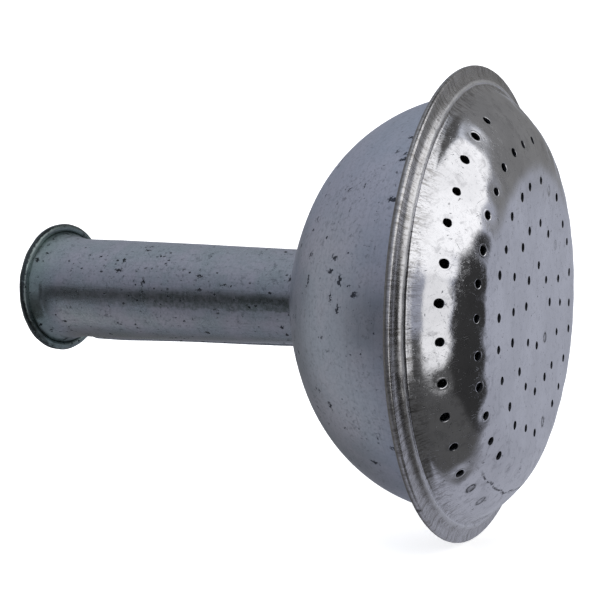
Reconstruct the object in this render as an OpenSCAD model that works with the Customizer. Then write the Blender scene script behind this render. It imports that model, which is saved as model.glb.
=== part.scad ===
// Galvanised sheet-steel rose (sprinkler head) of a watering can.
// The origin is on the neck's axis, where the trumpet flare ends and the straight
// spout socket begins. +X runs along the axis to the perforated face, +Z is up.
// Millimetres.

/* [Overall] */
// Length from the outer end of the rolled lip to the flat of the face
overall_l = 152; // [148:1:158]
// Diameter over the folded rim
rim_d = 120; // [119:0.5:122]
// Thickness of the galvanised sheet
sheet_t = 0.6; // [0.5:0.05:0.7]

/* [Neck] */
// Outside diameter of the straight spout socket
socket_d = 30; // [29:0.5:31]
// Length of the straight spout socket
socket_l = 12; // [8:1:20]
// Outside diameter of the neck where it enters the bowl
throat_d = 26.3; // [25:0.1:27.5]
// Profile radius of the trumpet flare, on its hollow side
flare_r = 20; // [16:1:24]
// Diameter over the rolled lip
lip_d = 39.6; // [38.6:0.2:40.6]
// Diameter of the wire inside the rolled lip
wire_d = 1.2; // [1:0.1:1.4]
// Turn of the lip's curl around its wire, in degrees
curl_turn = 278; // [240:2:290]
// Angle that the lap seam covers, in degrees
lap_angle = 20; // [15:1:25]
// Reach of the neck's turned-out end along the inside of the bowl
collar_reach = 3.5; // [2.5:0.5:5]

/* [Bowl] */
// Outside diameter of the bowl behind its flange
bowl_d = 105.8; // [105:0.2:106.6]
// Profile radius of the bowl's side
bowl_side_r = 41.9; // [40:0.1:43]
// Profile radius of the bowl's flatter back, around the neck
bowl_back_r = 100; // [90:5:140]
// Angle on the side's arc at which the flatter back begins, in degrees
back_angle = 55; // [52:0.5:58]
// Bend radius between the bowl and its flange, on the hollow side
bend_r = 1; // [0.8:0.1:1.2]
// Profile radius of the solder fillet around the neck
solder_r = 1.5; // [1:0.5:3]

/* [Face plate] */
// Diameter of the flat middle
flat_d = 65.4; // [64:0.2:66]
// Profile radius of the rounded shoulder
shoulder_r = 24.7; // [24:0.1:25.4]
// Distance from the flat middle back to the front of the rim
rim_setback = 14.1; // [13.6:0.1:14.4]
// Radius between the shoulder and the rim, on the hollow side
root_r = 2; // [1.6:0.1:2.4]
// Width of the edge that is folded behind the bowl's flange
hem_w = 3.4; // [2:0.1:3.8]

/* [Spray holes] */
// Diameter of a punched hole
hole_d = 2.1; // [1.6:0.1:2.4]
// Distance between two rings of holes, along the sheet
ring_pitch = 10.3; // [10:0.1:10.5]
// Holes in the first ring, nearest the middle
ring_1_holes = 8; // [6:1:10]
// Holes in the second ring
ring_2_holes = 16; // [12:1:20]
// Holes in the third ring
ring_3_holes = 24; // [18:1:28]
// Holes in the fourth ring, where the shoulder begins
ring_4_holes = 33; // [28:1:36]
// Holes in the fifth ring, on the shoulder
ring_5_holes = 36; // [30:1:42]
// How far a hand-punched hole strays from its mark
stray = 0.8; // [0:0.1:1]

/* [Hidden] */
$fn = 200;

// Radii
rim_r = rim_d / 2;
socket_r = socket_d / 2;
throat_r = throat_d / 2;
bowl_r = bowl_d / 2;
flat_r = flat_d / 2;

// Rolled lip: the curl's middle line runs on from the flare's middle line
curl_in_r = wire_d / 2 + 0.05;
curl_r = curl_in_r + sheet_t;
lip_centre_r = lip_d / 2 - curl_r;
flare_centre_r = socket_r + flare_r;
flare_dr = flare_centre_r - lip_centre_r;
flare_dx = sqrt(pow(flare_r - curl_in_r, 2) - pow(flare_dr, 2));
flare_turn = atan(flare_dx / flare_dr);

// Places along the axis
face_x = overall_l - flare_dx - curl_r;
rim_front_x = face_x - rim_setback;
rim_back_x = rim_front_x - 3 * sheet_t;
bowl_x = rim_front_x - 2 * sheet_t - bend_r;

// Arcs run this many degrees into the strip or arc that they join
overrun = 0.05;

// The bowl's side is an arc that runs on at its tangent into the flatter arc of the back
side_centre_r = bowl_r - bowl_side_r;
back_out = [cos(back_angle), -sin(back_angle)];
back_centre = [side_centre_r, bowl_x] + (bowl_side_r - bowl_back_r) * back_out;
throat_turn = acos((throat_r - back_centre[0]) / bowl_back_r);
throat_x = back_centre[1] - bowl_back_r * sin(throat_turn);

// The back's arc runs this many degrees into the neck's bore, where it is cut off
bore_margin = 1.5;

// The shoulder is an arc that a small hollow root joins to the rim
shoulder_centre = [flat_r, face_x - shoulder_r];
root_dx = rim_front_x + root_r - shoulder_centre[1];
root_dr = sqrt(pow(shoulder_r + root_r, 2) - pow(root_dx, 2));
root_centre = shoulder_centre + [root_dr, root_dx];
root_angle = atan(root_dx / root_dr);
fold_r = 1.5 * sheet_t;
fold_centre = [rim_r - fold_r, rim_front_x - fold_r];

// The lap seam lies under the neck, a little to the far side
lap_middle = 15;
lap_end_x = throat_x - 3;
bead_angle = 2.4;
bead_h = 0.75 * sheet_t;

// Spray holes, from the middle outwards
ring_holes = [ring_1_holes, ring_2_holes, ring_3_holes, ring_4_holes, ring_5_holes];
ring_turn = [3, 2, 3, 9, 9];
drill_l = 4;
drill_lean = 0.33;

// A pie slice of the plane, between two angles
module wedge(reach, from, to) {
    steps = ceil((to - from) / 45);
    polygon(concat([[0, 0]], [for (i = [0:steps])
        reach * [cos(from + (to - from) * i / steps), sin(from + (to - from) * i / steps)]]));
}

// A strip of sheet in profile, bent to an arc
module arc_strip(inner, outer, from, to) {
    intersection() {
        difference() {
            circle(outer);
            circle(inner);
        }
        wedge(2 * outer, from, to);
    }
}

// Turns a profile of [radius, place along the axis] about +X. Angle 0 is at -Z, 90 at +Y.
module turn(angle = 360, start = 0) {
    rotate([0, 90, 0])
        rotate_extrude(angle = angle, start = start)
            children();
}

// The neck's outside in profile, moved outwards by grow, from one place to another
module neck_side(grow, thick, from, to) {
    slope = (throat_r - socket_r) / (throat_x - socket_l);
    function side_r(x) = x < socket_l ? socket_r : socket_r + slope * (x - socket_l);
    polygon([
        [side_r(from) + grow - thick, from], [side_r(from) + grow, from],
        [socket_r + grow, socket_l], [side_r(to) + grow, to],
        [side_r(to) + grow - thick, to], [socket_r + grow - thick, socket_l]
    ]);
}

// Straight socket, tapered neck, flare with a rolled lip, and the end turned out in the bowl
module neck_tube() {
    color("slategray") {
        turn() {
            neck_side(0, sheet_t, 0, throat_x + 1.5 * sheet_t);
            translate([flare_centre_r, 0])
                arc_strip(flare_r, flare_r + sheet_t, 180, 180 + flare_turn);
            translate([lip_centre_r, -flare_dx])
                arc_strip(curl_in_r, curl_r, 180 + flare_turn, 180 + flare_turn + curl_turn);
            turned_out_end();
        }
        turn(lap_angle, lap_middle - lap_angle / 2)
            neck_side(sheet_t, sheet_t, 0, lap_end_x);
    }
}

// The neck's inner end in profile, lying on the inside of the bowl's back
module turned_out_end() {
    reach_turn = collar_reach / bowl_back_r * 180 / PI;
    difference() {
        translate(back_centre)
            arc_strip(bowl_back_r - 2 * sheet_t, bowl_back_r - sheet_t,
                -throat_turn - bore_margin, -throat_turn + reach_turn);
        neck_side(-sheet_t, throat_r, 0, throat_x + 3 * sheet_t);
    }
}

// The wire inside the rolled lip
module lip_wire() {
    color("dimgray")
        turn()
            translate([lip_centre_r, -flare_dx])
                circle(wire_d / 2);
}

// The run of solder along the lap seam's edge
module seam_solder() {
    color("silver")
        turn(bead_angle, lap_middle + lap_angle / 2)
            neck_side(bead_h, bead_h, 1, lap_end_x - 1);
}

// The solder fillet where the neck enters the bowl
module neck_solder() {
    reach = bowl_back_r + solder_r;
    centre_r = throat_r + solder_r;
    centre = [centre_r, back_centre[1] - sqrt(pow(reach, 2) - pow(centre_r - back_centre[0], 2))];
    on_bowl = back_centre + bowl_back_r / reach * (centre - back_centre);
    color("silver")
        turn()
            difference() {
                polygon([[throat_r, throat_x], [throat_r, centre[1]], centre, on_bowl]);
                translate(centre)
                    circle(solder_r);
                translate(back_centre)
                    circle(bowl_back_r);
                neck_side(0, throat_r, 0, throat_x);
            }
}

// The pressed bowl, from the neck's hole to the flange inside the folded rim
module bowl() {
    color("lightslategray")
        turn() {
            translate([side_centre_r, bowl_x])
                arc_strip(bowl_side_r - sheet_t, bowl_side_r, -back_angle - overrun, 0);
            difference() {
                translate(back_centre)
                    arc_strip(bowl_back_r - sheet_t, bowl_back_r, -throat_turn - bore_margin, -back_angle);
                neck_side(0, throat_r, 0, throat_x + 3 * sheet_t);
            }
            translate([bowl_r + bend_r, bowl_x])
                arc_strip(bend_r, bend_r + sheet_t, 90, 180);
            translate([bowl_r + bend_r, bowl_x + bend_r])
                square([fold_centre[0] - bowl_r - bend_r, sheet_t]);
        }
}

// The face plate's sheet, before its holes are punched
module plate_sheet() {
    turn() {
        translate([0, face_x - sheet_t])
            square([flat_r, sheet_t]);
        translate(shoulder_centre)
            arc_strip(shoulder_r - sheet_t, shoulder_r, root_angle - overrun, 90);
        translate(root_centre)
            arc_strip(root_r, root_r + sheet_t, 180 + root_angle, 270);
        translate([root_centre[0], rim_front_x - sheet_t])
            square([fold_centre[0] - root_centre[0], sheet_t]);
        translate(fold_centre)
            arc_strip(fold_r - sheet_t, fold_r, -90, 90);
        translate([fold_centre[0] - hem_w, rim_back_x])
            square([hem_w, sheet_t]);
    }
}

// The perforated face, with its edge folded over the bowl's flange
module face_plate() {
    color("gainsboro")
        difference() {
            plate_sheet();
            for (k = [1:5], i = [0:ring_holes[k - 1] - 1])
                spray_hole(k, i);
        }
}

// Hole i of ring k. The rings are evenly spaced on the sheet, and the outer two follow
// the shoulder round, so their holes lean outwards.
module spray_hole(k, i) {
    reach = k * ring_pitch + strays(k, 151 * i);
    slope = reach < flat_r ? 0 : (reach - flat_r) / shoulder_r * 180 / PI;
    r = reach < flat_r ? reach : flat_r + shoulder_r * sin(slope);
    x = face_x - shoulder_r * (1 - cos(slope));
    around = ring_turn[k - 1] + i * 360 / ring_holes[k - 1] + strays(k, 137 * i) / r * 180 / PI;
    rotate([around, 0, 0])
        translate([x, r, 0])
            rotate([0, 0, drill_lean * slope])
                rotate([0, 90, 0])
                    cylinder(h = drill_l, d = hole_d, center = true, $fn = 32);
}

// How far a hole strays, in millimetres: less on the two outer rings
function strays(k, seed) = (k > 3 ? 0.4 : 1) * stray * sin(seed + 71 * k);

neck_tube();
lip_wire();
seam_solder();
neck_solder();
bowl();
face_plate();
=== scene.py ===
"""Visual model of a galvanised watering can rose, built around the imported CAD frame.

Metres, +X along the axis from the neck to the perforated face, +Z up. Profiles are given
in millimetres as (radius, place along the axis) and turned about the X axis.
"""
import math
from collections import namedtuple

import bpy
import numpy as np
from mathutils import Matrix, Vector
from mathutils.geometry import delaunay_2d_cdt


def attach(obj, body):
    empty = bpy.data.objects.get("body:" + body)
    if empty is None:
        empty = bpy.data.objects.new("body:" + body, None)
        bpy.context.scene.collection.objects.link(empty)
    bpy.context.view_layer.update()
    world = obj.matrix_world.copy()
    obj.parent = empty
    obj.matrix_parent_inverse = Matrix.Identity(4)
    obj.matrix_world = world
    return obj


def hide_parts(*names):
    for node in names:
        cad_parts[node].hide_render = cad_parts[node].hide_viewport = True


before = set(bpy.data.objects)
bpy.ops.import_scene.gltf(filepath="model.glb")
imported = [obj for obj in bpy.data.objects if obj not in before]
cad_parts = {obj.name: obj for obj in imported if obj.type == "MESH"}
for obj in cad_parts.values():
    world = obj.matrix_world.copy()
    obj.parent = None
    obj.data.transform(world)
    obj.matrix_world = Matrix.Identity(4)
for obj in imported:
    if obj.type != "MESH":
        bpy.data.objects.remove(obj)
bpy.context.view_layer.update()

MM = 0.001

# Bowl: the arc of its side runs on into the flatter arc of its back
SHEET_T = 0.6
BOWL_SIDE_R = 41.9
BOWL_CENTRE = (11.0, 124.26)
BEND_CENTRE = (53.9, 124.26)
BEND_R = 1.0
BACK_ANGLE = 55
BACK_R = 100.0
BACK_CENTRE = (BOWL_CENTRE[0] + (BOWL_SIDE_R - BACK_R) * math.cos(math.radians(BACK_ANGLE)),
               BOWL_CENTRE[1] - (BOWL_SIDE_R - BACK_R) * math.sin(math.radians(BACK_ANGLE)))
FLANGE_X = 125.26

# Neck and lip
SOCKET_R = 15.0
SOCKET_L = 12.0
THROAT_R = 13.15
THROAT_TURN = math.degrees(math.acos((THROAT_R - BACK_CENTRE[0]) / BACK_R))
THROAT_X = BACK_CENTRE[1] - BACK_R * math.sin(math.radians(THROAT_TURN))
COLLAR_REACH = 3.5
FILLET_R = 1.5
FLARE_R = 20.0
CURL_CENTRE = (18.55, -10.19)
CURL_IN_R = 0.65
CURL_TURN = 292
FLARE_TURN = 31.8
LAP_ANGLES = (-85.0, -65.0)
LAP_STEP = 0.4
LAP_END_X = THROAT_X - 3
LIP_X = -6.0
WIRE_R = 0.6
BEAD_GAP = 1.2
BEAD_HEIGHT = 0.44
BEAD_HALF_WIDTH = 1.15

# Unevenness of the sheets: how deep the dents and the fine ripples are, and how far both are sunk;
# the face's shoulder has its own on top of what the flat has
Uneven = namedtuple("Uneven", "dents fine sunk")
NECK_UNEVEN = Uneven(0.13, 0.015, 0.1)
BOWL_UNEVEN = Uneven(0.14, 0.015, 0.12)
FLAT_UNEVEN = Uneven(0.02, 0.006, 0.16)
SHOULDER_EXTRA = Uneven(0.06, 0.03, 0)
LIP_WAVE = 0.12
RIM_WAVE = 0.1
RIM_SUNK = 0.12

# Face plate
FACE_X = 140.56
FLAT_R = 32.7
SHOULDER_R = 24.7
ROOT_R = 2.0
RIM_X = 126.46
FOLD_R = 0.9
FOLD_CENTRE = (59.1, 125.56)
HEM_W = 3.4
RIM_DISH = 0.9
# The raised line along the root: how far in from the flange, its width and height, and the radius of the
# highlight painted along it
RIDGE_IN = 0.6
RIDGE_WIDTH = 0.75
RIDGE_HEIGHT = 0.3
RIDGE_HIGHLIGHT_R = 55.7

# Spray holes: count and turn of each ring, in degrees, from the middle outwards
RINGS = ((8, 3), (16, 2), (24, 3), (33, 9), (36, 9))
RING_PITCH = 10.3
HOLE_R = 1.05
STRAY = 0.8
DRILL_LEAN = 0.33
# The punch sank the shoulder round each hole: how deep, and how wide in the hole's own radii
DIMPLE_DEPTH = 0.2
DIMPLE_REACH = 2.8
# It also left a burr: how high, and its place and width in the hole's own radii
BURR_HEIGHT = 0.035
BURR_AT = 1.1
BURR_WIDTH = 0.14
HOLE_SINK = 0.1
# Holes that the zinc has closed, as (ring, number), and how dark the mark is that each leaves
CLOGGED = {(1, 7): 0.9, (3, 19): 0.9, (3, 5): 0.5, (2, 2): 0.4, (4, 5): 0.2, (4, 6): 0.15, (4, 7): 0.2,
           (5, 8): 0.2, (5, 9): 0.15, (5, 10): 0.2, (4, 22): 0.2, (4, 23): 0.15, (4, 24): 0.15,
           (4, 25): 0.2, (4, 26): 0.15, (5, 23): 0.9, (5, 24): 0.8, (5, 25): 0.2, (5, 26): 0.15}


# ---- profiles

def arc(centre, radius, start, end, steps):
    """Points of an arc in the profile plane, with angles in degrees."""
    angles = np.radians(np.linspace(start, end, steps))
    return [(centre[0] + radius * math.cos(a), centre[1] + radius * math.sin(a)) for a in angles]


def straight(start, end, steps):
    """Points of a straight line, without its last one."""
    shares = np.linspace(0, 1, steps, endpoint=False)
    return [tuple(np.array(start) + (np.array(end) - np.array(start)) * s) for s in shares]


def rounded_corner(before, corner, after, radius, steps):
    """Points of the small arc that rounds a corner between two straight lines."""
    corner = np.array(corner)
    to_before = np.array(before) - corner
    to_after = np.array(after) - corner
    to_before = to_before / np.linalg.norm(to_before)
    to_after = to_after / np.linalg.norm(to_after)
    half = math.acos(float(to_before @ to_after)) / 2
    start = corner + to_before * radius / math.tan(half)
    end = corner + to_after * radius / math.tan(half)
    shares = np.linspace(0, 1, steps)
    return [tuple((1 - s) ** 2 * start + 2 * s * (1 - s) * corner + s * s * end) for s in shares]


def side_normals(line):
    """Normals to the left of a profile line, which is its outer side."""
    tangents = np.gradient(line, axis=0)
    tangents /= np.linalg.norm(tangents, axis=1)[:, None]
    return np.stack([-tangents[:, 1], tangents[:, 0]], 1)


def sheet_loop(line, thickness=SHEET_T):
    """Closed profile of a sheet whose outer side is the given line."""
    line = np.array(line)
    inner = line - side_normals(line) * thickness
    return np.concatenate([line, inner[::-1]])


def neck_profile():
    """Outer side of the neck, from its turned-out end to the end of the lip's curl."""
    inside_r = BACK_R - SHEET_T
    turn = math.degrees(math.acos((THROAT_R - BACK_CENTRE[0]) / inside_r))
    reach = math.degrees(COLLAR_REACH / inside_r)
    collar = arc(BACK_CENTRE, inside_r, reach - turn, 0.35 - turn, 10)
    corner = arc(BACK_CENTRE, inside_r, -turn, -turn, 1)[0]
    return (
        collar
        + rounded_corner(collar[-1], corner, (THROAT_R, 60), 0.7, 7)[1:]
        + straight((THROAT_R + 0.03, THROAT_X - 1.0), (SOCKET_R, SOCKET_L), 90)
        + straight((SOCKET_R, SOCKET_L), (SOCKET_R, 0), 18)
        + arc((SOCKET_R + FLARE_R, 0), FLARE_R, 180, 180 + FLARE_TURN, 22)[:-1]
        + arc(CURL_CENTRE, CURL_IN_R, 180 + FLARE_TURN, 180 + FLARE_TURN + CURL_TURN, 34)
    )


def bowl_profile():
    """Outer side of the bowl, from the flange's edge to the hole for the neck."""
    return (
        straight((FOLD_CENTRE[0], FLANGE_X), (BEND_CENTRE[0], FLANGE_X), 12)
        + arc(BEND_CENTRE, BEND_R, 90, 180, 10)[:-1]
        + arc(BOWL_CENTRE, BOWL_SIDE_R, 0, -BACK_ANGLE, 120)[:-1]
        + arc(BACK_CENTRE, BACK_R, -BACK_ANGLE, 0.01 - THROAT_TURN, 70)
    )


# The small hollow root joins the shoulder's arc to the rim
ROOT_DX = RIM_X + ROOT_R - (FACE_X - SHOULDER_R)
ROOT_DR = math.sqrt((SHOULDER_R + ROOT_R) ** 2 - ROOT_DX ** 2)
ROOT_CENTRE = (FLAT_R + ROOT_DR, RIM_X + ROOT_R)
ROOT_ANGLE = math.degrees(math.atan(ROOT_DX / ROOT_DR))

# Lengths along the face plate's outer side, from the middle
SHOULDER_END = FLAT_R + SHOULDER_R * math.radians(90 - ROOT_ANGLE)
FLANGE_START = SHOULDER_END + ROOT_R * math.radians(90 - ROOT_ANGLE)
FLANGE_END = FLANGE_START + FOLD_CENTRE[0] - ROOT_CENTRE[0]
FOLD_END = FLANGE_END + math.pi * FOLD_R
HEM_END = FOLD_END + HEM_W


def rim_lengths(start):
    """Lengths along the face plate's sheet, from the given one to the end of the hem."""
    return np.concatenate([
        np.linspace(start, FLANGE_START, 24, endpoint=False),
        np.linspace(FLANGE_START, FLANGE_END, 14, endpoint=False),
        np.linspace(FLANGE_END, FOLD_END, 22, endpoint=False),
        np.linspace(FOLD_END, HEM_END, 10),
    ])


def face_side(length):
    """Radius, place and normal of the face plate's outer side, by length from the middle."""
    length = np.asarray(length, float)
    slope = (length - FLAT_R) / SHOULDER_R
    hollow = math.radians(180 + ROOT_ANGLE) + (length - SHOULDER_END) / ROOT_R
    fold = math.pi / 2 - (length - FLANGE_END) / FOLD_R
    parts = [
        (length < FLAT_R, length, FACE_X + 0 * length, 0 * length, 1 + 0 * length),
        (length < SHOULDER_END, FLAT_R + SHOULDER_R * np.sin(slope),
         FACE_X - SHOULDER_R * (1 - np.cos(slope)), np.sin(slope), np.cos(slope)),
        (length < FLANGE_START, ROOT_CENTRE[0] + ROOT_R * np.cos(hollow),
         ROOT_CENTRE[1] + ROOT_R * np.sin(hollow), -np.cos(hollow), -np.sin(hollow)),
        (length < FLANGE_END, ROOT_CENTRE[0] + length - FLANGE_START, RIM_X + 0 * length,
         0 * length, 1 + 0 * length),
        (length < FOLD_END, FOLD_CENTRE[0] + FOLD_R * np.cos(fold),
         FOLD_CENTRE[1] + FOLD_R * np.sin(fold), np.cos(fold), np.sin(fold)),
        (length >= FOLD_END, FOLD_CENTRE[0] - (length - FOLD_END),
         FOLD_CENTRE[1] - FOLD_R + 0 * length, 0 * length, -1 + 0 * length),
    ]
    conditions = [p[0] for p in parts]
    return [np.select(conditions, [p[i] for p in parts]) for i in range(1, 5)]


# ---- unevenness

def ripples(seed, waves, turns, along):
    """Smooth unevenness from -1 to 1 over angle and length, the same on each run."""
    rng = np.random.default_rng(seed)
    sines = [
        (rng.integers(turns[0], turns[1] + 1), rng.uniform(*along) * rng.choice([-1, 1]),
         rng.uniform(0, 2 * math.pi), rng.uniform(0.5, 1))
        for _ in range(waves)
    ]
    weight = sum(s[3] for s in sines) / 1.6

    def field(angle, length):
        total = sum(w * np.sin(k * angle + q * length + p) for k, q, p, w in sines)
        return np.clip(total / weight, -1, 1)

    return field


# ---- meshes

def add_mesh(name, points, faces, material, node, inside=None, marks=None):
    """A smooth-shaded piece from points in millimetres, standing for a CAD node.

    inside is a second material and a test that says which faces have it. marks is how dark
    the material's marks are at each of the first points."""
    mesh = bpy.data.meshes.new(name)
    mesh.from_pydata((np.asarray(points) * MM).tolist(), [], faces)
    mesh.validate()
    mesh.shade_smooth()
    mesh.set_sharp_from_angle(angle=math.radians(45))
    mesh.materials.append(material)
    if inside is not None:
        mesh.materials.append(inside[0])
        mesh.polygons.foreach_set("material_index", [int(inside[1](f)) for f in faces])
    if marks is not None:
        shades = np.zeros(len(mesh.vertices), np.float32)
        shades[:len(marks)] = marks
        mesh.attributes.new("mark", "FLOAT", "POINT").data.foreach_set("value", shades)
    piece = bpy.data.objects.new(name, mesh)
    bpy.context.scene.collection.objects.link(piece)
    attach(piece, "root")
    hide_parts(node)


def turned_points(loop, angles, radial=None, axial=None):
    """Points of a profile turned about the X axis, moved by radial and axial unevenness."""
    radius, place = loop[:, 0][:, None], loop[:, 1][:, None]
    angle = angles[None, :]
    if radial is not None:
        radius = radius + radial(angle, place)
    if axial is not None:
        place = place + axial(angle, place)
    radius, place, angle = np.broadcast_arrays(radius, place, angle)
    return np.stack([place, radius * np.cos(angle), radius * np.sin(angle)], -1).reshape(-1, 3)


def ring_quads(rows, columns, first=0, close_rows=True):
    """Faces between successive rings of points, the last ring joined to the first one."""
    faces = []
    for i in range(rows if close_rows else rows - 1):
        a, b = first + i * columns, first + (i + 1) % rows * columns
        for j in range(columns):
            k = (j + 1) % columns
            faces.append((a + j, b + j, b + k, a + k))
    return faces


def build_neck(material, dull):
    """Neck with its flare and rolled lip; the lap seam stands one sheet proud underneath."""
    loop = sheet_loop(neck_profile())
    half = len(loop) // 2
    angles = np.radians(np.concatenate([
        np.linspace(LAP_ANGLES[1], LAP_ANGLES[0] + 360, 420),
        np.linspace(LAP_ANGLES[0] + LAP_STEP, LAP_ANGLES[1] - LAP_STEP, 40),
    ]))
    dents = ripples(3, 14, (1, 7), (0.02, 0.14))
    fine = ripples(4, 18, (5, 26), (0.1, 0.6))
    lip_waves = ripples(5, 9, (3, 19), (0, 0.01))

    def radial(angle, place):
        turn = np.degrees(angle)
        on_lap = (turn < LAP_ANGLES[1]) & (place < LAP_END_X) & (place > 0)
        outer = (np.arange(len(loop)) < half)[:, None]
        fade = np.clip(place / 8, 0, 1) * np.clip((THROAT_X - place) / 5, 0, 1)
        lap = np.where(on_lap & outer, SHEET_T * np.clip(place / 2, 0, 1), 0)
        lip = np.where(place < LIP_X, lip_waves(angle, place) * LIP_WAVE - LIP_WAVE, 0)
        uneven = dents(angle, place) * NECK_UNEVEN.dents + fine(angle, place) * NECK_UNEVEN.fine
        return lap + fade * (uneven - NECK_UNEVEN.sunk) + lip

    def axial(angle, place):
        return np.where(place < LIP_X, 0.1 + 0.08 * lip_waves(2 * angle, place), 0)

    points = turned_points(loop, angles, radial, axial)
    faces = ring_quads(len(loop), len(angles))
    first_bore = (half + int(np.argmax(loop[half:, 1] > LIP_X))) * len(angles)
    add_mesh("neck_sheet", points, faces, material, "neck_tube",
             inside=(dull, lambda f: min(f) >= first_bore))


def build_lip_wire(material):
    """Wire inside the rolled lip."""
    loop = np.array(arc(CURL_CENTRE, WIRE_R, 0, -350, 36))
    angles = np.linspace(0, 2 * math.pi, 360, endpoint=False)
    points = turned_points(loop, angles, axial=lambda angle, place: 0.05)
    faces = ring_quads(len(loop), len(angles))
    add_mesh("lip_wire_core", points, faces, material, "lip_wire")


def build_bowl(material, dull):
    """Pressed bowl: two sides of sheet, with faint dents and the drawing press's ripples."""
    loop = sheet_loop(bowl_profile())
    angles = np.linspace(0, 2 * math.pi, 540, endpoint=False)
    dents = ripples(11, 14, (2, 7), (0.03, 0.16))
    fine = ripples(12, 20, (7, 34), (0.05, 0.5))

    def radial(angle, place):
        fade = np.clip((place - THROAT_X - 2) / 8, 0, 1) * np.clip((122 - place) / 6, 0, 1)
        uneven = dents(angle, place) * BOWL_UNEVEN.dents + fine(angle, place) * BOWL_UNEVEN.fine
        return fade * (uneven - BOWL_UNEVEN.sunk)

    points = turned_points(loop, angles, radial)
    faces = ring_quads(len(loop), len(angles))
    first_inner = len(loop) // 2 * len(angles)
    add_mesh("bowl_sheet", points, faces, material, "bowl",
             inside=(dull, lambda f: min(f) >= first_inner))


def build_seam_solder(material):
    """Run of solder along the lap's edge: a lumpy bead that tapers at both ends."""
    places = np.linspace(BEAD_GAP, LAP_END_X - BEAD_GAP, 260)
    slope = (THROAT_R - SOCKET_R) / (THROAT_X - SOCKET_L)
    side = np.where(places < SOCKET_L, SOCKET_R, SOCKET_R + slope * (places - SOCKET_L))
    lumps = ripples(21, 12, (0, 0), (0.3, 2.6))(0, places)
    to_end = np.minimum(places - BEAD_GAP, LAP_END_X - BEAD_GAP - places)
    ends = np.clip(to_end / 1.5, 0.05, 1) ** 0.5
    section = np.linspace(0, math.pi, 9)
    rings = []
    for place, base, lump, end in zip(places, side, lumps, ends):
        height = BEAD_HEIGHT * end * (0.82 + 0.18 * lump)
        width = BEAD_HALF_WIDTH * end * (0.9 + 0.1 * lump)
        ring = [(place, base - 0.12 + height * math.sin(a), width * math.cos(a)) for a in section]
        ring += [(place, base - 0.3, -0.8 * width), (place, base - 0.3, 0.8 * width)]
        rings.append(ring)
    middle = math.radians(LAP_ANGLES[1] + 1.3)
    points = np.array([
        (x, r * math.cos(middle) - t * math.sin(middle), r * math.sin(middle) + t * math.cos(middle))
        for ring in rings for x, r, t in ring
    ])
    columns = len(section) + 2
    faces = ring_quads(len(rings), columns, close_rows=False)
    faces.append(tuple(range(columns)))
    faces.append(tuple(range(len(points) - 1, len(points) - 1 - columns, -1)))
    add_mesh("seam_bead", points, faces, material, "seam_solder")


def build_neck_solder(material):
    """Hollow fillet of solder around the neck, with the lumps of a hand-made joint."""
    reach = BACK_R + FILLET_R
    centre_r = THROAT_R + FILLET_R
    down = math.sqrt(reach ** 2 - (centre_r - BACK_CENTRE[0]) ** 2)
    centre = (centre_r, BACK_CENTRE[1] - down)
    on_bowl = 180 - math.degrees(math.asin(down / reach))
    fillet = arc(centre, FILLET_R - 0.03, 180, on_bowl, 14)
    loop = np.array(fillet + [(THROAT_R + 0.2, THROAT_X + 0.3), (THROAT_R - 0.25, THROAT_X - 0.2)])
    angles = np.linspace(0, 2 * math.pi, 360, endpoint=False)
    lumps = ripples(31, 16, (2, 23), (0.0, 0.1))

    def radial(angle, place):
        weight = np.sin(np.linspace(0, math.pi, len(loop)))[:, None]
        return -0.08 * weight * (1 + lumps(angle, place))

    points = turned_points(loop, angles, radial)
    faces = ring_quads(len(loop), len(angles))
    add_mesh("neck_fillet", points, faces, material, "neck_solder")


# ---- perforated face

class Hole:
    """One spray hole: its place on the sheet, its half axes there, and how the zinc has marked it."""

    def __init__(self, ring, number):
        count, turn = RINGS[ring - 1]
        self.length = ring * RING_PITCH + self.strays(ring, 151 * number)
        slope = max(0.0, (self.length - FLAT_R) / SHOULDER_R)
        radius = self.length if slope == 0 else FLAT_R + SHOULDER_R * math.sin(slope)
        across = self.strays(ring, 137 * number) / radius
        self.angle = math.radians(turn + number * 360 / count) + across
        size = 1 + 0.07 * math.sin(1.7 * number + 2.3 * ring)
        self.along_r = size * HOLE_R / math.cos(slope * (1 - DRILL_LEAN))
        self.across_r = size * HOLE_R * self.length / radius
        self.clogged = (ring, number) in CLOGGED
        self.darkness = CLOGGED.get((ring, number), 0.0)

    @staticmethod
    def strays(ring, seed):
        return (0.4 if ring > 3 else 1) * STRAY * math.sin(math.radians(seed + 71 * ring))

    @property
    def centre(self):
        return np.array([self.length * math.cos(self.angle), self.length * math.sin(self.angle)])

    def loop(self, grow, steps=24):
        """Points of the hole's outline, grown, on the flat pattern of the sheet."""
        out = np.array([math.cos(self.angle), math.sin(self.angle)])
        side = np.array([-out[1], out[0]])
        turns = np.linspace(0, 2 * math.pi, steps, endpoint=False)
        rough = 1 + 0.03 * np.sin(3 * turns + self.length) + 0.02 * np.sin(5 * turns + 9 * self.angle)
        along = self.along_r * grow * np.cos(turns) * rough
        across = self.across_r * grow * np.sin(turns) * rough
        return self.centre + along[:, None] * out + across[:, None] * side

    def distance(self, points):
        """How many of the hole's own radii each point is from its middle."""
        out = np.array([math.cos(self.angle), math.sin(self.angle)])
        offset = points - self.centre
        along = offset @ out / self.along_r
        across = (offset[:, 1] * out[0] - offset[:, 0] * out[1]) / self.across_r
        return np.hypot(along, across)


def all_holes():
    return [Hole(k, i) for k in range(1, 6) for i in range(RINGS[k - 1][0])]


LATTICE_END = 57.0
LATTICE_STEP = 0.72
LOOP_GROWTHS = (1.0, 1.1, 1.25, 1.45, 1.72)


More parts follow.
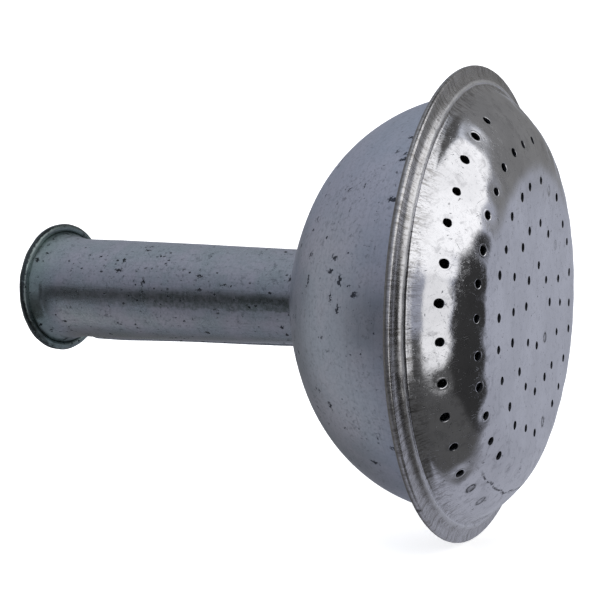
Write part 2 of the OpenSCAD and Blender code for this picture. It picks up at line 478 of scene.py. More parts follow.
def flat_lattice(holes, columns):
    """Points of the face's flat pattern: rings about the axis, clear of the holes, and its edge."""
    rings = []
    steps = round(LATTICE_END / LATTICE_STEP)
    for i in range(1, steps):
        length = LATTICE_END * i / steps
        count = max(6, round(2 * math.pi * length / LATTICE_STEP))
        turns = (np.arange(count) + 0.5 * (i % 2)) * 2 * math.pi / count
        rings.append(np.stack([length * np.cos(turns), length * np.sin(turns)], 1))
    lattice = np.concatenate([np.zeros((1, 2))] + rings)
    keep = np.ones(len(lattice), bool)
    for hole in holes:
        keep &= hole.distance(lattice) > LOOP_GROWTHS[-1] + 0.3
    turns = np.arange(columns) * 2 * math.pi / columns
    edge = LATTICE_END * np.stack([np.cos(turns), np.sin(turns)], 1)
    return lattice[keep], edge


def face_pattern(holes, columns):
    """Flat pattern of the face: its points, its triangles and the outline of each open hole.

    The first points are the outer edge, one to a column."""
    lattice, edge = flat_lattice(holes, columns)
    blocks = [edge, lattice]
    outlines = []
    count = len(edge) + len(lattice)
    for hole in holes:
        for grow in LOOP_GROWTHS:
            loop = hole.loop(grow)
            blocks.append(loop)
            if grow == 1.0:
                outlines.append((hole, list(range(count, count + len(loop)))))
            count += len(loop)
        if hole.clogged:
            for grow in (0.0, 0.35, 0.7):
                inner = hole.loop(grow, 12 if grow else 1)
                blocks.append(inner)
                count += len(inner)
    points = np.concatenate(blocks)
    links = [(o[i], o[(i + 1) % len(o)]) for _, o in outlines for i in range(len(o))]
    result = delaunay_2d_cdt([Vector(p) for p in points], links, [], 0, 1e-7)
    order = {i: s[0] for i, s in enumerate(result[3]) if s}
    triangles = [tuple(order[v] for v in t) for t in result[2]]
    triangles = drop_hole_triangles(triangles, outlines)
    outlines = [o for hole, o in outlines if not hole.clogged]
    return points, triangles, outlines


def drop_hole_triangles(triangles, outlines):
    """Triangles without those that span an open hole."""
    owner = {v: n for n, (hole, o) in enumerate(outlines) if not hole.clogged for v in o}
    kept = []
    for t in triangles:
        owners = {owner.get(v, -1) for v in t}
        if len(owners) > 1 or -1 in owners:
            kept.append(t)
    return kept


def face_unevenness(points, holes):
    """How far the face stands out from its plain shape, in millimetres, at flat-pattern points."""
    length = np.linalg.norm(points, axis=1)
    angle = np.arctan2(points[:, 1], points[:, 0])
    broad = ripples(41, 12, (1, 6), (0.03, 0.12))
    small = ripples(42, 22, (6, 40), (0.1, 0.7))
    calm_middle = np.clip(length / 20, 0, 1)
    on_shoulder = np.clip((length - FLAT_R + 4) / 8, 0, 1) * np.clip((LATTICE_END - length) / 4, 0, 1)
    dents = FLAT_UNEVEN.dents + SHOULDER_EXTRA.dents * on_shoulder
    fine = FLAT_UNEVEN.fine + SHOULDER_EXTRA.fine * on_shoulder
    out = calm_middle * (broad(angle, length) * dents + small(angle, length) * fine) - FLAT_UNEVEN.sunk
    out *= np.clip((LATTICE_END - length) / 5, 0, 1)
    for hole in holes:
        far = hole.distance(points)
        if hole.clogged:
            out -= HOLE_SINK * np.clip(0.9 - far, 0, 1)
        else:
            out += BURR_HEIGHT * np.exp(-((far - BURR_AT) / BURR_WIDTH) ** 2)
            out -= HOLE_SINK * np.clip(1.12 - far, 0, 1) ** 0.5
        out -= DIMPLE_DEPTH * on_shoulder * np.exp(-(far / DIMPLE_REACH) ** 2)
    return out


def face_marks(points, holes):
    """How dark the marks of the closed holes are, at flat-pattern points."""
    marks = np.zeros(len(points))
    for hole in holes:
        if hole.clogged:
            far = hole.distance(points)
            ring = np.exp(-((far - 0.95) / 0.34) ** 2)
            marks = np.maximum(marks, hole.darkness * np.maximum(ring, 0.35 * (far < 1)))
    return marks


def face_points(points, out, depth):
    """Points in space of flat-pattern points, at a depth in the sheet, with unevenness."""
    length = np.linalg.norm(points, axis=1)
    angle = np.arctan2(points[:, 1], points[:, 0])
    radius, place, out_r, out_x = face_side(length)
    radius = radius + (out - depth) * out_r
    place = place + (out - depth) * out_x
    return np.stack([place, radius * np.cos(angle), radius * np.sin(angle)], 1)


def rim_points(columns, depth):
    """Points of the rim beyond the lattice: shoulder's end, root, flange, fold and hem."""
    lengths = rim_lengths(LATTICE_END)[1:]
    angles = np.arange(columns) * 2 * math.pi / columns
    radius, place, out_r, out_x = [v[:, None] for v in face_side(lengths)]
    length = lengths[:, None]
    angle = angles[None, :]
    waves = ripples(51, 9, (2, 11), (0, 0.02))
    pinch = ripples(52, 26, (60, 150), (0.0, 0.3))
    lumps = ripples(53, 22, (24, 90), (0, 0.2))
    on_root = np.exp(-((length - FLANGE_START + RIDGE_IN) / 1.3) ** 2)
    on_flange = np.clip((length - FLANGE_START) / 1, 0, 1) * np.clip((FOLD_END - length) / 2.5, 0, 1)
    ridge = np.exp(-((length - FLANGE_START + RIDGE_IN) / RIDGE_WIDTH) ** 2)
    out = ridge * RIDGE_HEIGHT * (1 + 0.4 * lumps(angle, length)) + on_root * lumps(angle, length) * 0.04
    out = out - on_flange * (0.05 + 0.03 * pinch(angle, length))
    shift = np.clip((length - SHOULDER_END) / 3, 0, 1)
    swell = shift * (RIM_WAVE * waves(angle, length) - RIM_SUNK)
    radius = radius + (out - depth) * out_r + swell
    rise = np.clip((length - LATTICE_END) / (FLANGE_START - LATTICE_END), 0, 1)
    rise = rise * rise * (3 - 2 * rise)
    fall = np.clip((FLANGE_END - length) / (FLANGE_END - FLANGE_START), 0, 1) ** 2
    dish = RIM_DISH * np.where(length < FLANGE_START, rise, fall)
    place = place + (out - depth) * out_x + shift * 0.08 * waves(angle + 1, length) + dish
    radius, place, angle = np.broadcast_arrays(radius, place, angle)
    points = np.stack([place, radius * np.cos(angle), radius * np.sin(angle)], -1)
    return points.reshape(-1, 3), len(lengths)


def build_face(material, dull):
    """Perforated face plate: punched sheet with burrs, rounded shoulder and folded rim."""
    columns = 720
    holes = all_holes()
    pattern, triangles, outlines = face_pattern(holes, columns)
    out = face_unevenness(pattern, holes)
    front = face_points(pattern, out, 0)
    back = face_points(pattern, np.minimum(out, -HOLE_SINK), SHEET_T)
    front_rim, rows = rim_points(columns, 0)
    back_rim, _ = rim_points(columns, SHEET_T)
    points = np.concatenate([front, back, front_rim, back_rim])
    back_first = len(front)
    front_rim_first = 2 * len(front)
    back_rim_first = front_rim_first + len(front_rim)
    faces = list(triangles)
    faces += [(t[0] + back_first, t[2] + back_first, t[1] + back_first) for t in triangles]
    for outline in outlines:
        for i, a in enumerate(outline):
            b = outline[(i + 1) % len(outline)]
            faces.append((a, b, b + back_first, a + back_first))
    last = (rows - 1) * columns
    for j in range(columns):
        k = (j + 1) % columns
        faces.append((j, front_rim_first + j, front_rim_first + k, k))
        faces.append((back_first + j, back_first + k, back_rim_first + k, back_rim_first + j))
        faces.append((front_rim_first + last + j, back_rim_first + last + j,
                      back_rim_first + last + k, front_rim_first + last + k))
    faces += ring_quads(rows, columns, front_rim_first, close_rows=False)
    faces += [f[::-1] for f in ring_quads(rows, columns, back_rim_first, close_rows=False)]
    add_mesh("face_sheet", points, faces, material, "face_plate",
             inside=(dull, lambda f: back_first <= max(f) < front_rim_first),
             marks=face_marks(pattern, holes))


# ---- node helpers

def linear(red, green, blue):
    """Linear colour from 0-255 display values."""
    def one(v):
        v /= 255
        return v / 12.92 if v <= 0.04045 else ((v + 0.055) / 1.055) ** 2.4
    return (one(red), one(green), one(blue), 1)


class Tree:
    """Short calls for adding nodes to a material's or world's tree."""

    def __init__(self, tree):
        self.tree = tree
        tree.nodes.clear()

    def node(self, kind, **settings):
        made = self.tree.nodes.new(kind)
        for key, value in settings.items():
            setattr(made, key, value)
        return made

    def put(self, socket, value):
        """Links a socket to another one, or sets its value."""
        if isinstance(value, bpy.types.NodeSocket):
            self.tree.links.new(value, socket)
        elif value is not None:
            socket.default_value = value

    @staticmethod
    def set_numbers(made, numbers):
        for name, number in numbers.items():
            made.inputs[name].default_value = number

    def math(self, operation, a, b=None, c=None, clamp=False):
        made = self.node("ShaderNodeMath", operation=operation, use_clamp=clamp)
        for socket, value in zip(made.inputs, (a, b, c)):
            self.put(socket, value)
        return made.outputs[0]

    def add(self, a, b, clamp=False):
        return self.math("ADD", a, b, clamp=clamp)

    def sub(self, a, b):
        return self.math("SUBTRACT", a, b)

    def mul(self, a, b):
        return self.math("MULTIPLY", a, b)

    def most(self, a, b, clamp=False):
        return self.math("MAXIMUM", a, b, clamp=clamp)

    def vector(self, operation, a, b=None, scale=None):
        made = self.node("ShaderNodeVectorMath", operation=operation)
        self.put(made.inputs[0], a)
        self.put(made.inputs[1], b)
        if scale is not None:
            made.inputs["Scale"].default_value = scale
        return made.outputs["Vector"]

    def noise(self, vector, scale, detail, rough, distortion=0.0, output="Fac"):
        made = self.node("ShaderNodeTexNoise", noise_dimensions="3D")
        self.put(made.inputs["Vector"], vector)
        numbers = {"Scale": scale, "Detail": detail, "Roughness": rough, "Distortion": distortion}
        self.set_numbers(made, numbers)
        return made.outputs[output]

    def cells(self, vector, scale):
        """Distance to the nearest of some scattered points, and that point's own random value."""
        made = self.node("ShaderNodeTexVoronoi", voronoi_dimensions="3D", feature="F1")
        self.put(made.inputs["Vector"], vector)
        made.inputs["Scale"].default_value = scale
        return made.outputs["Distance"], self.separate(made.outputs["Color"])[0]

    def ramp(self, value, low, high, out_low=0.0, out_high=1.0, smooth=True):
        made = self.node("ShaderNodeMapRange", interpolation_type="SMOOTHSTEP" if smooth else "LINEAR")
        self.put(made.inputs["Value"], value)
        numbers = {"From Min": low, "From Max": high, "To Min": out_low, "To Max": out_high}
        self.set_numbers(made, numbers)
        return made.outputs["Result"]

    def mix(self, share, a, b):
        made = self.node("ShaderNodeMix", data_type="RGBA")
        self.put(made.inputs["Factor"], share)
        colours = [s for s in made.inputs if s.type == "RGBA"]
        self.put(colours[0], a)
        self.put(colours[1], b)
        return [s for s in made.outputs if s.type == "RGBA"][0]

    def combine(self, x, y, z):
        made = self.node("ShaderNodeCombineXYZ")
        for socket, value in zip(made.inputs, (x, y, z)):
            self.put(socket, value)
        return made.outputs[0]

    def separate(self, vector):
        made = self.node("ShaderNodeSeparateXYZ")
        self.put(made.inputs[0], vector)
        return made.outputs

    def bump(self, height, strength, distance):
        made = self.node("ShaderNodeBump")
        self.set_numbers(made, {"Strength": strength, "Distance": distance})
        self.put(made.inputs["Height"], height)
        return made.outputs[0]


DEGREES = 180 / math.pi


class Turned:
    """Coordinates on the turned part: millimetres, and the angle round it in radians and degrees."""

    def __init__(self, t):
        coordinates = t.node("ShaderNodeTexCoord").outputs["Object"]
        self.mm = t.vector("SCALE", coordinates, scale=1000.0)
        x, y, z = t.separate(self.mm)
        self.x, self.y, self.z = x, y, z
        self.radius = t.math("SQRT", t.add(t.mul(y, y), t.mul(z, z)))
        self.angle = t.math("ARCTAN2", z, y)
        self.degrees = t.mul(self.angle, DEGREES)

    def streaks(self, t, scale_round, scale_along):
        """A noise vector that is stretched along the part, seamless round it."""
        reach = 30.0 * scale_round
        round_y = t.mul(t.math("COSINE", self.angle), reach)
        round_z = t.mul(t.math("SINE", self.angle), reach)
        return t.combine(t.mul(self.x, scale_along), round_y, round_z)


def surface(t, colour, roughness, normal, metallic=1.0):
    """Shader with its output: bare metal, if nothing else is said."""
    shader = t.node("ShaderNodeBsdfPrincipled")
    t.put(shader.inputs["Base Color"], colour)
    t.put(shader.inputs["Roughness"], roughness)
    t.put(shader.inputs["Normal"], normal)
    shader.inputs["Metallic"].default_value = metallic
    out = t.node("ShaderNodeOutputMaterial")
    t.put(out.inputs["Surface"], shader.outputs[0])
    return shader


def new_material(name):
    material = bpy.data.materials.new(name)
    material.use_nodes = True
    return material, Tree(material.node_tree)


def specks(t, at, scale, threshold):
    """Small dark spots: the rare peaks of a noise."""
    return t.ramp(t.noise(at.mm, scale, 3, 0.6, 0.6), threshold, threshold + 0.05)


def pits(t, at, cell, share, size, stretch=(1, 1, 1), raggedness=1.3):
    """Ragged black pits, scattered one to a cell, as a mask. cell is the size of a cell, size is
    a pit's largest half width and raggedness is how far its edge wanders, all in millimetres;
    share is how many of the cells have a pit."""
    ragged = t.vector("SUBTRACT", t.noise(at.mm, 1.3, 4, 0.7, output="Color"), (0.5, 0.5, 0.5))
    ragged = t.vector("SCALE", ragged, scale=raggedness)
    place = t.vector("MULTIPLY", t.vector("ADD", at.mm, ragged), stretch)
    distance, chance = t.cells(place, 1 / cell)
    half = t.ramp(chance, 1 - share, 1.0, 0.0, size / cell, smooth=False)
    depth = t.sub(half, distance)
    return t.ramp(depth, 0.0, 0.12 / cell)


def nicks(t, at, cell, share, size):
    """Short black nicks, some that run along the part and some that run up it, as a mask."""
    along = pits(t, at, cell, share, size, (0.35, 1, 1), 2.8)
    upright = pits(t, at, 1.1 * cell, share, size, (1, 1, 0.35), 2.8)
    return t.most(along, upright)


# ---- materials

def zinc_matte():
    """Neck: dull, weathered zinc with a dark band along it, pits and black flecks; the band is partly
    stained zinc and partly a painted dark reflection.
    """
    material, t = new_material("zinc_matte")
    at = Turned(t)
    cloud = t.noise(at.mm, 0.11, 5, 0.6)
    grain = t.noise(at.mm, 1.6, 6, 0.65)
    streak = t.noise(at.streaks(t, 0.9, 0.12), 1.0, 5, 0.6)
    colour = t.mix(t.ramp(cloud, 0.35, 0.68), linear(150, 158, 164), linear(168, 168, 178))
    colour = t.mix(t.ramp(grain, 0.42, 0.66, 0.0, 0.25), colour, linear(116, 122, 128))
    colour = t.mix(t.ramp(streak, 0.5, 0.72, 0.0, 0.35), colour, linear(116, 128, 130))
    # Painted dark reflection, partly stained zinc: the band along the neck's side
    stain_and_reflection = stain_and_reflection_band(t, at)
    mottle = t.ramp(t.noise(at.mm, 0.9, 5, 0.75), 0.4, 0.6, 0.25, 0.7)
    colour = t.mix(t.mul(stain_and_reflection, mottle), colour, linear(92, 102, 96))
    colour = lip_tint_and_reflection(t, at, colour)
    colour = blotches(t, at, colour, 0.5)
    dark = t.most(pits(t, at, 2.6, 0.6, 0.55), pits(t, at, 1.3, 0.6, 0.4, (0.6, 1, 1)))
    groups = t.ramp(t.noise(at.mm, 0.12, 4, 0.6), 0.43, 0.55)
    dark = t.mul(dark, t.add(groups, stain_and_reflection, clamp=True))
    nicked = t.ramp(t.noise(at.mm, 0.09, 3, 0.5), 0.42, 0.52)
    dark = t.most(dark, t.mul(nicks(t, at, 2.5, 0.7, 0.62), nicked))
    dark = t.most(dark, t.mul(specks(t, at, 1.1, 0.64), 0.5))
    colour = t.mix(t.mul(dark, 0.9), colour, linear(26, 30, 36))
    roughness = t.add(t.ramp(cloud, 0.3, 0.7, 0.27, 0.36), t.ramp(grain, 0.35, 0.65, -0.04, 0.06))
    roughness = t.add(roughness, t.mul(dark, 0.25), clamp=True)
    height = t.add(t.mul(grain, 0.15), t.mul(streak, 0.5))
    height = t.sub(height, dark)
    surface(t, colour, roughness, t.bump(height, 0.3, 0.00015))
    return material


def lip_tint_and_reflection(t, at, colour):
    """Greenish flare, partly the zinc's own tint and partly a painted reflection of greenery, and a
    rolled lip that is darker on its outermost edge.
    """
    # Painted reflection, partly the zinc's tint: the flare turns greenish towards the lip
    flare = t.ramp(at.x, -9.0, -1.0, 0.6, 0.0)
    colour = t.mix(flare, colour, linear(132, 152, 146))
    on_bead = t.mul(t.ramp(at.x, -9.0, -8.4, 1.0, 0.0), t.ramp(at.radius, 18.2, 18.7))
    colour = t.mix(t.mul(on_bead, 0.3), colour, linear(120, 130, 128))
    # The lip is made darker towards its outermost edge
    rough_edge = t.mul(t.sub(t.noise(at.mm, 0.8, 5, 0.7), 0.5), 2.6)
    darkened_zone = t.add(t.ramp(at.radius, 18.7, 19.7), rough_edge)
    darkened_zone = t.mul(t.ramp(darkened_zone, 0.35, 0.8), t.ramp(at.radius, 18.0, 18.6))
    return t.mix(t.mul(darkened_zone, 0.85), colour, linear(42, 46, 48))


# The lower edge of the dark band on the neck, partly stained zinc and partly a painted dark reflection,
# in degrees from +Y towards +Z
STAIN_AND_REFLECTION_TURN = -162.0


def stain_and_reflection_band(t, at):
    """Dark mottled band along the neck's side, which ends sharply below and is wider by the bowl: partly
    stained zinc, partly a painted dark reflection.
    """
    wander = t.sub(t.noise(at.mm, 0.3, 5, 0.7, 0.4), 0.5)
    up = t.math("WRAP", t.sub(at.degrees, STAIN_AND_REFLECTION_TURN), 180.0, -180.0)
    up = t.math("MULTIPLY_ADD", wander, 14.0, t.mul(up, -1.0))
    below = t.ramp(up, -2.0, 1.5)
    above = t.ramp(up, 10.0, 26.0, 1.0, 0.0)
    by_bowl = t.ramp(at.x, 12.0, 45.0, 0.35, 1.0)
    return t.mul(t.mul(below, above), by_bowl)


def blotches(t, at, colour, strength):
    """Colour with blurred darker blotches of a millimetre or two, in loose groups."""
    groups = t.ramp(t.noise(at.mm, 0.13, 3, 0.5), 0.4, 0.6, 0.3, 1.0)
    spots = t.ramp(t.noise(at.mm, 0.75, 6, 0.75, 0.5), 0.53, 0.62)
    share = t.mul(t.mul(groups, spots), strength)
    return t.mix(share, colour, linear(84, 90, 96))


def zinc_bowl():
    """Bowl: satin, blue-grey zinc with fine drawn lines, small dark scratches and painted shade round the
    neck joint.
    """
    material, t = new_material("zinc_bowl")
    at = Turned(t)
    cloud = t.noise(at.mm, 0.06, 5, 0.62)
    grain = t.noise(at.mm, 1.5, 6, 0.65)
    rings = t.noise(t.combine(t.mul(at.x, 2.2), t.mul(at.radius, 2.2), t.mul(at.angle, 1.5)), 1.0, 4, 0.6)
    colour = t.mix(t.ramp(cloud, 0.36, 0.64), linear(164, 171, 184), linear(180, 182, 194))
    colour = t.mix(t.ramp(grain, 0.45, 0.7, 0.0, 0.22), colour, linear(126, 132, 142))
    colour = t.mix(t.ramp(rings, 0.5, 0.75, 0.0, 0.25), colour, linear(130, 134, 144))
    # Painted shade: the bowl darker and bluer in the hollow round the neck joint
    neck_joint_shade = t.ramp(at.radius, 14.0, 22.0, 0.6, 0.0)
    colour = t.mix(neck_joint_shade, colour, linear(96, 114, 130))
    colour = blotches(t, at, colour, 0.35)
    dark = t.most(pits(t, at, 2.8, 0.4, 0.42, (0.7, 1, 0.7)), pits(t, at, 1.4, 0.4, 0.32))
    dark = t.mul(dark, t.ramp(t.noise(at.mm, 0.1, 4, 0.6), 0.46, 0.57))
    nicked = t.ramp(t.noise(at.mm, 0.05, 3, 0.5), 0.42, 0.5)
    dark = t.most(dark, t.mul(nicks(t, at, 2.5, 0.75, 0.66), nicked))
    dark = t.most(dark, t.mul(specks(t, at, 1.0, 0.65), 0.45))
    colour = t.mix(t.mul(dark, 0.85), colour, linear(30, 34, 44))
    roughness = t.add(t.ramp(cloud, 0.3, 0.7, 0.36, 0.46), t.ramp(grain, 0.35, 0.65, -0.04, 0.06))
    roughness = t.add(roughness, t.mul(dark, 0.2), clamp=True)
    height = t.sub(t.add(t.mul(grain, 0.2), rings), dark)
    surface(t, colour, roughness, t.bump(height, 0.2, 0.0001))
    return material


def zinc_bright():
    """Face plate: mirror-bright zinc with smears, fine scratches, a drawn, hatched rim and a painted
    highlight along the raised line at the root.
    """
    material, t = new_material("zinc_bright")
    at = Turned(t)
    cloud = t.noise(at.mm, 0.08, 5, 0.6)
    grain = t.noise(at.mm, 1.4, 6, 0.65)
    smear = t.noise(at.mm, 0.42, 5, 0.65, 0.6)
    hatch = t.most(t.noise(at.streaks(t, 1.0, 0.1), 2.6, 5, 0.7),
                   t.sub(t.noise(at.streaks(t, 1.0, 0.3), 6.0, 4, 0.7), 0.02))
    on_rim = t.ramp(at.radius, 54.6, 56.4)
    by_root = t.ramp(at.radius, 51.5, 54.8)
    # Where the painted highlight along the raised line at the root lies
    ridge = t.ramp(t.math("ABSOLUTE", t.sub(at.radius, RIDGE_HIGHLIGHT_R)), 0.25, 0.8, 1.0, 0.0)
    colour = t.mix(t.ramp(cloud, 0.38, 0.66), linear(222, 222, 226), linear(236, 236, 240))
    colour = t.mix(t.ramp(grain, 0.52, 0.72, 0.0, 0.3), colour, linear(180, 182, 188))
    smudges = t.mul(t.ramp(smear, 0.5, 0.64), t.ramp(at.radius, 32.0, 38.0, 0.12, 0.3))
    colour = t.mix(smudges, colour, linear(150, 150, 154))
    hatch_dark = t.mul(t.ramp(hatch, 0.48, 0.62, 0.0, 0.75), by_root)
    hatch_dark = t.mul(hatch_dark, t.sub(1.0, t.mul(ridge, 0.6)))
    colour = t.mix(hatch_dark, colour, linear(112, 108, 104))
    colour = t.mix(t.mul(on_rim, 0.3), colour, linear(178, 174, 170))
    # Painted highlight: the raised line at the root made near white
    colour = t.mix(t.mul(ridge, 0.7), colour, linear(246, 246, 248))
    edge = t.mul(t.ramp(at.radius, 58.4, 59.4), t.ramp(at.x, 125.3, 126.1, 1.0, 0.0))
    colour = t.mix(t.mul(edge, 0.85), colour, linear(104, 102, 100))
    spots = specks(t, at, 0.8, 0.68)
    dark = t.most(t.mul(spots, 0.7), scratch_lines(t, at))
    darkened_zone = t.ramp(t.noise(at.mm, 0.06, 3, 0.5), 0.5, 0.58)
    dark = t.most(dark, t.mul(nicks(t, at, 5.0, 0.4, 0.35), darkened_zone))
    dark = t.most(dark, cup_ring(t, at))
    closed = t.node("ShaderNodeAttribute", attribute_name="mark").outputs["Fac"]
    closed = t.mul(t.mul(closed, 1.3), t.ramp(grain, 0.36, 0.5, 0.4, 1.0))
    dark = t.most(dark, closed, clamp=True)
    colour = t.mix(t.mul(dark, 0.85), colour, linear(48, 50, 58))
    roughness = t.ramp(cloud, 0.35, 0.7, 0.05, 0.12)
    roughness = t.add(roughness, t.ramp(grain, 0.5, 0.72, 0.0, 0.14))
    roughness = t.add(roughness, t.ramp(smear, 0.5, 0.66, 0.0, 0.12))
    roughness = t.add(roughness, t.mul(on_rim, 0.16))
    roughness = t.add(roughness, t.mul(t.add(edge, ridge), 0.2))
    roughness = t.add(roughness, t.mul(dark, 0.3), clamp=True)
    height = t.add(smear, t.mul(grain, 0.12))
    height = t.add(height, t.mul(t.mul(hatch, by_root), 0.7))
    height = t.sub(height, dark)
    surface(t, colour, roughness, t.bump(height, 0.2, 0.0001))
    return material


# The ring mark: its radius and the middle of its arc, in degrees from +Y towards +Z
CUP_RING_R = 46.0
CUP_RING_TURN = -100.0


def cup_ring(t, at):
    """Broken ring mark near the face's lower edge, as if a cup had stood there."""
    wobble = t.mul(t.sub(t.noise(at.mm, 0.25, 4, 0.6), 0.5), 3.0)
    off = t.math("ABSOLUTE", t.sub(t.add(at.radius, wobble), CUP_RING_R))
    line = t.ramp(off, 0.12, 0.42, 1.0, 0.0)
    turn = t.math("ABSOLUTE", t.sub(at.degrees, CUP_RING_TURN))
    broken = t.ramp(t.noise(at.mm, 0.9, 5, 0.7), 0.4, 0.52)
    return t.mul(line, t.mul(t.ramp(turn, 20.0, 27.0, 1.0, 0.0), broken))


def scratch_lines(t, at):
    """Thin scratches: narrow bands of a stretched noise, broken up by another."""
    lines = []
    for turn, scale in ((0.4, 0.35), (1.9, 0.28), (2.7, 0.45)):
        side = t.add(t.mul(at.y, math.cos(turn)), t.mul(at.z, math.sin(turn)))
        other = t.sub(t.mul(at.z, math.cos(turn)), t.mul(at.y, math.sin(turn)))
        vector = t.combine(t.mul(side, 0.12), t.mul(other, 1.2), turn * 7)
        value = t.noise(vector, scale, 2, 0.5, 0.3)
        line = t.ramp(t.math("ABSOLUTE", t.sub(value, 0.5)), 0.0, 0.006, 1.0, 0.0)
        broken = t.ramp(t.noise(at.mm, 0.2 + scale, 3, 0.6), 0.55, 0.68)
        lines.append(t.mul(line, broken))
    return t.most(lines[0], t.most(lines[1], lines[2]))


def zinc_inside():
    """Inside of the rose: dull zinc with water stains and lime, made dark partly as painted shade of the
    closed hollow.
    """
    material, t = new_material("zinc_inside")
    at = Turned(t)
    cloud = t.noise(at.mm, 0.09, 5, 0.65)
    lime = t.ramp(t.noise(at.mm, 0.5, 6, 0.7), 0.55, 0.72)
    # Dark base colour: partly dull, stained zinc, partly painted shade inside the hollow
    colour = t.mix(t.ramp(cloud, 0.35, 0.65), linear(74, 78, 84), linear(104, 106, 112))
    colour = t.mix(t.mul(lime, 0.5), colour, linear(140, 138, 130))
    roughness = t.ramp(cloud, 0.3, 0.7, 0.55, 0.75)
    surface(t, colour, roughness, t.bump(t.add(cloud, lime), 0.3, 0.0001))
    return material


def solder():
    """Soft solder: smooth, dull and slightly mottled."""
    material, t = new_material("solder")
    at = Turned(t)
    cloud = t.noise(at.mm, 0.5, 5, 0.6)
    grain = t.noise(at.mm, 3.0, 4, 0.6)
    colour = t.mix(t.ramp(cloud, 0.35, 0.65), linear(128, 140, 156), linear(158, 164, 176))
    colour = t.mix(t.ramp(grain, 0.6, 0.75, 0.0, 0.5), colour, linear(80, 86, 94))
    roughness = t.ramp(cloud, 0.3, 0.7, 0.32, 0.5)
    height = t.add(cloud, t.mul(grain, 0.3))
    surface(t, colour, roughness, t.bump(height, 0.4, 0.00015))
    return material


def steel_wire():
    """Drawn wire: fine lines along it, a little rust where the lip is open."""
    material, t = new_material("steel_wire")
    at = Turned(t)
    drawn = t.noise(t.combine(t.mul(at.x, 6.0), t.mul(at.radius, 6.0), t.mul(at.angle, 3.0)), 1.0, 3, 0.5)
    rust = t.ramp(t.noise(at.mm, 0.4, 5, 0.7), 0.52, 0.66)
    colour = t.mix(t.ramp(drawn, 0.35, 0.65), linear(120, 120, 124), linear(150, 150, 152))
    colour = t.mix(t.mul(rust, 0.6), colour, linear(96, 70, 52))
    roughness = t.ramp(rust, 0.0, 1.0, 0.35, 0.7)
    surface(t, colour, roughness, t.bump(drawn, 0.3, 0.00005))
    return material


# ---- stage, light, camera

FLOOR_Z = -0.0603
PAPER_GLOW = 0.62
WORLD_STRENGTH = 1.12
LIGHT_AIM = (0.06, 0, 0)

# The camera's place, the direction behind it, its upward direction, and its lens in millimetres
CAMERA_AT = (0.21676, -0.2689, 0.00485)
CAMERA_BACK = (0.47013, -0.88240, 0.01864)
CAMERA_UP = (-0.03961, 0, 0.99922)
CAMERA_LENS = 66
CAMERA_SENSOR = 36


def pale_paper():
    """Backdrop paper: almost white, faintly mottled, and lit a little from behind."""
    material, t = new_material("pale_paper")
    coordinates = t.node("ShaderNodeTexCoord").outputs["Object"]
    fibre = t.noise(coordinates, 9.0, 4, 0.6)
    colour = t.mix(t.ramp(fibre, 0.3, 0.7), linear(247, 247, 247), linear(251, 251, 251))
    shader = surface(t, colour, 0.9, t.bump(fibre, 0.05, 0.0005), metallic=0.0)
    shader.inputs["Emission Color"].default_value = (1, 1, 1, 1)
    shader.inputs["Emission Strength"].default_value = PAPER_GLOW
    return material


def build_stage():
    """Pale floor that curves up into a backdrop behind the object, as seen by the camera."""
    half_width = 4.0
    front = -2.0
    bend_at = 1.6
    bend_r = 0.8
    top = 3.0
    bend = [(bend_at + bend_r * math.sin(a), bend_r * (1 - math.cos(a)))
            for a in np.linspace(0, math.pi / 2, 24)]
    section = [(front, 0.0), (0.0, 0.0)] + bend + [(bend_at + bend_r, top)]
    points = [(side, depth, FLOOR_Z + height) for depth, height in section
              for side in (-half_width, half_width)]
    faces = [(2 * i, 2 * i + 1, 2 * i + 3, 2 * i + 2) for i in range(len(section) - 1)]
    mesh = bpy.data.meshes.new("backdrop")
    mesh.from_pydata(points, [], faces)
    mesh.shade_smooth()
    mesh.materials.append(pale_paper())
    backdrop = bpy.data.objects.new("backdrop", mesh)
    backdrop.rotation_euler = (0, 0, math.radians(28))
    backdrop.visible_glossy = False
    bpy.context.scene.collection.objects.link(backdrop)


# A softbox or a grey flag of the studio: its middle and half size in degrees of azimuth and
# elevation, the softness of its edge, and its grey shade from 0 to 255
Card = namedtuple("Card", "middle size soft shade")
STUDIO_CARDS = (
    Card((30, 76), (95, 19), 0.5, 88),      # flag overhead
    Card((72, 34), (32, 27), 0.6, 120),     # flag to the right
    Card((-4, 34), (42, 23), 0.35, 255),    # key softbox
    Card((-37, -39), (79, 26), 0.4, 78),    # flag on the floor
    Card((18, -8), (24, 21), 0.45, 50),     # flag in front
    Card((-20, -6), (12, 21), 0.9, 236),    # strip softbox
    Card((150, -20), (26, 30), 0.7, 116),   # flag behind
    Card((-170, -14), (28, 42), 0.6, 190),  # fill to the left
    Card((-122, -9), (25, 12), 0.45, 62),   # flag beside the neck
)


def card_share(t, azimuth, elevation, card):
    """1 where a card stands in a direction, 0 where it doesn't: a rectangle with round corners."""
    across = t.math("WRAP", t.sub(azimuth, card.middle[0]), 180.0, -180.0)
    across = t.math("ABSOLUTE", t.math("DIVIDE", across, card.size[0]))
    up = t.sub(elevation, card.middle[1])
    up = t.math("ABSOLUTE", t.math("DIVIDE", up, card.size[1]))
    beyond = t.add(t.math("POWER", across, 4.0), t.math("POWER", up, 4.0))
    return t.ramp(beyond, 1 - card.soft, 1 + card.soft, 1.0, 0.0)


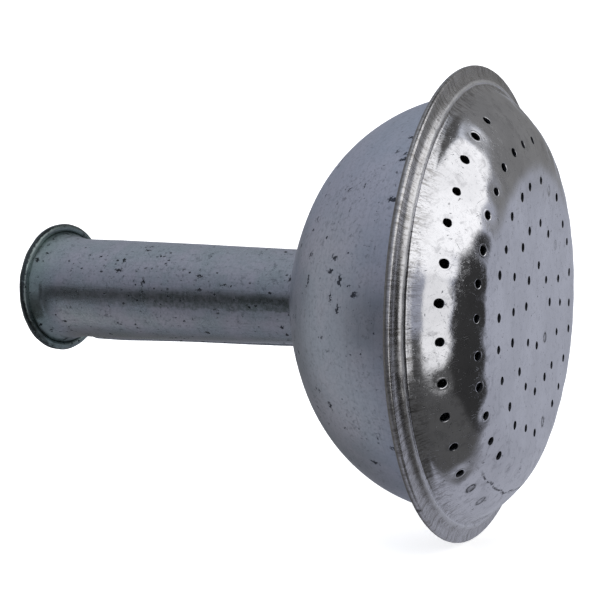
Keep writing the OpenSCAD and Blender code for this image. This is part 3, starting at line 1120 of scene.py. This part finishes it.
def light_world():
    """Plain studio: pale walls, a paler ceiling, and a few softboxes and flags for the metal."""
    world = bpy.data.worlds.new("studio")
    bpy.context.scene.world = world
    world.use_nodes = True
    t = Tree(world.node_tree)
    direction = t.node("ShaderNodeTexCoord").outputs["Generated"]
    x, y, z = t.separate(direction)
    azimuth = t.mul(t.math("ARCTAN2", y, x), DEGREES)
    elevation = t.mul(t.math("ARCSINE", z), DEGREES)
    colour = t.mix(t.ramp(elevation, -50, 10), linear(154, 156, 166), linear(160, 163, 174))
    colour = t.mix(t.ramp(elevation, 15, 60), colour, linear(196, 200, 208))
    for card in STUDIO_CARDS:
        share = card_share(t, azimuth, elevation, card)
        colour = t.mix(share, colour, linear(card.shade, card.shade, card.shade))
    background = t.node("ShaderNodeBackground")
    t.put(background.inputs["Color"], colour)
    background.inputs["Strength"].default_value = WORLD_STRENGTH
    out = t.node("ShaderNodeOutputWorld")
    t.put(out.inputs["Surface"], background.outputs[0])


def soft_light(name, place, size, watts):
    """Large, soft area light that the bright metal doesn't mirror."""
    data = bpy.data.lights.new(name, "AREA")
    data.shape = "DISK"
    data.size = size
    data.energy = watts
    lamp = bpy.data.objects.new(name, data)
    lamp.location = place
    aim = Vector(LIGHT_AIM) - Vector(place)
    lamp.rotation_mode = "QUATERNION"
    lamp.rotation_quaternion = aim.to_track_quat("-Z", "Y")
    lamp.visible_glossy = False
    bpy.context.scene.collection.objects.link(lamp)


def place_camera():
    """Camera at the photograph's viewing angle: almost level, beside the face, rolled a little."""
    data = bpy.data.cameras.new("camera")
    data.lens = CAMERA_LENS
    data.sensor_width = CAMERA_SENSOR
    camera = bpy.data.objects.new("camera", data)
    back = Vector(CAMERA_BACK).normalized()
    right = Vector(CAMERA_UP).cross(back).normalized()
    up = back.cross(right)
    turn = Matrix((right, up, back)).transposed()
    camera.matrix_world = Matrix.Translation(CAMERA_AT) @ turn.to_4x4()
    bpy.context.scene.collection.objects.link(camera)
    bpy.context.scene.camera = camera


def main():
    place_camera()
    solder_material = solder()
    dull = zinc_inside()
    build_neck(zinc_matte(), dull)
    build_lip_wire(steel_wire())
    build_seam_solder(solder_material)
    build_neck_solder(solder_material)
    build_bowl(zinc_bowl(), dull)
    build_face(zinc_bright(), dull)
    build_stage()
    light_world()
    soft_light("overhead", (0.2, -0.5, 1.6), 1.4, 10)
    soft_light("side", (-1.0, -1.2, 0.7), 1.2, 6)
    bpy.context.scene.view_settings.view_transform = "Standard"


main()
